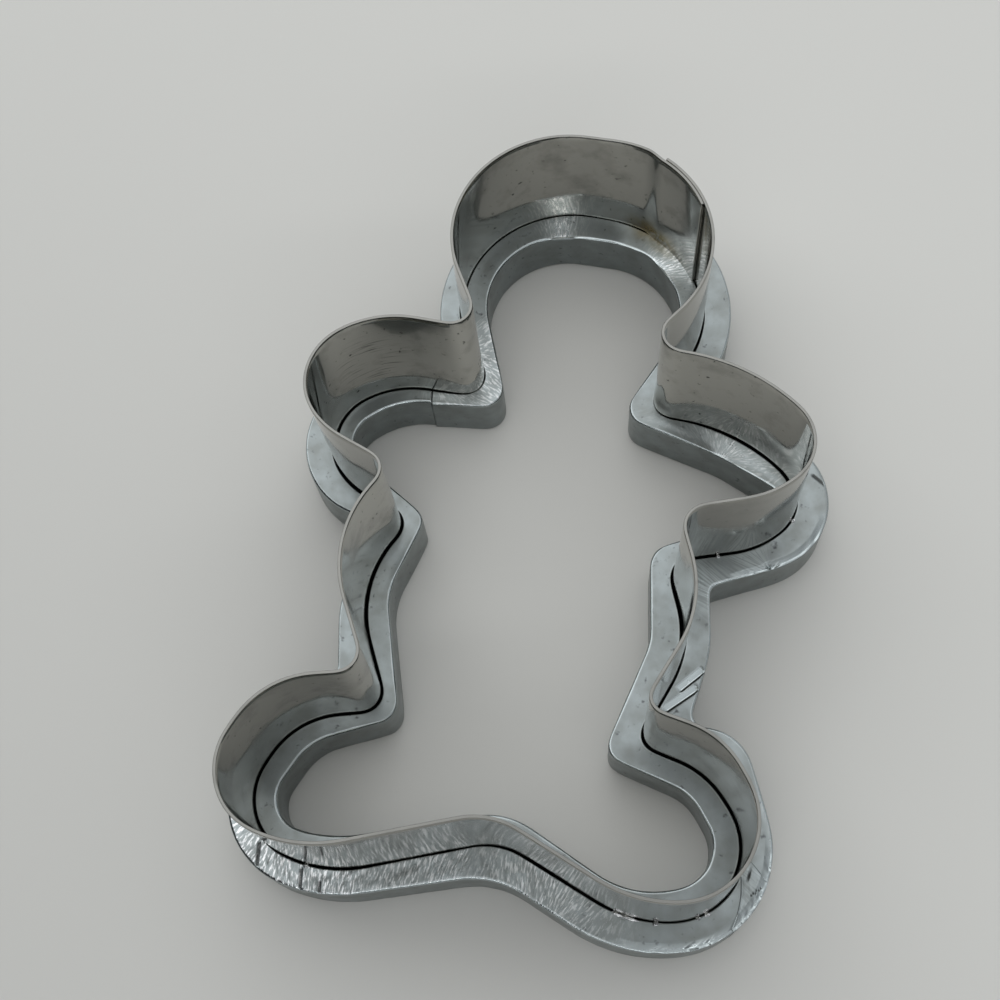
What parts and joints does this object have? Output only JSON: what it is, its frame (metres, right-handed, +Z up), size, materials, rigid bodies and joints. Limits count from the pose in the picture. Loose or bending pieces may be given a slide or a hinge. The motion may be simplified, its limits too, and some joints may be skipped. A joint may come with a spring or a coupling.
{
  "type": "cookie cutter",
  "caption": "Gingerbread man cookie cutter: a thin upright metal cutting strip that follows the figure, held in a heavy frame of flat bars inside and outside its foot.",
  "frame": {"origin": "middle of the cutter's length and width, on the surface that its frame lies on", "axes": "+X to the figure's right as the picture shows it, +Y from the feet to the head, +Z up from the frame to the cutting edge"},
  "size_m": [0.0942, 0.1366, 0.035],
  "materials": {
    "blade_steel": "polished",
    "frame_steel": "satin",
    "joint_fill": "rough",
    "solder": "satin"
  },
  "bodies": {
    "root": {"cutting_blade": "blade_steel", "inner_frame_bar": "frame_steel", "outer_frame_bar": "frame_steel", "outer_bar_joint_fill": "joint_fill", "solder_bead_1": "solder", "solder_bead_2": "solder", "solder_bead_3": "solder", "solder_bead_4": "solder", "solder_bead_5": "solder", "solder_bead_6": "solder", "solder_bead_7": "solder"}
  },
  "joints": []
}
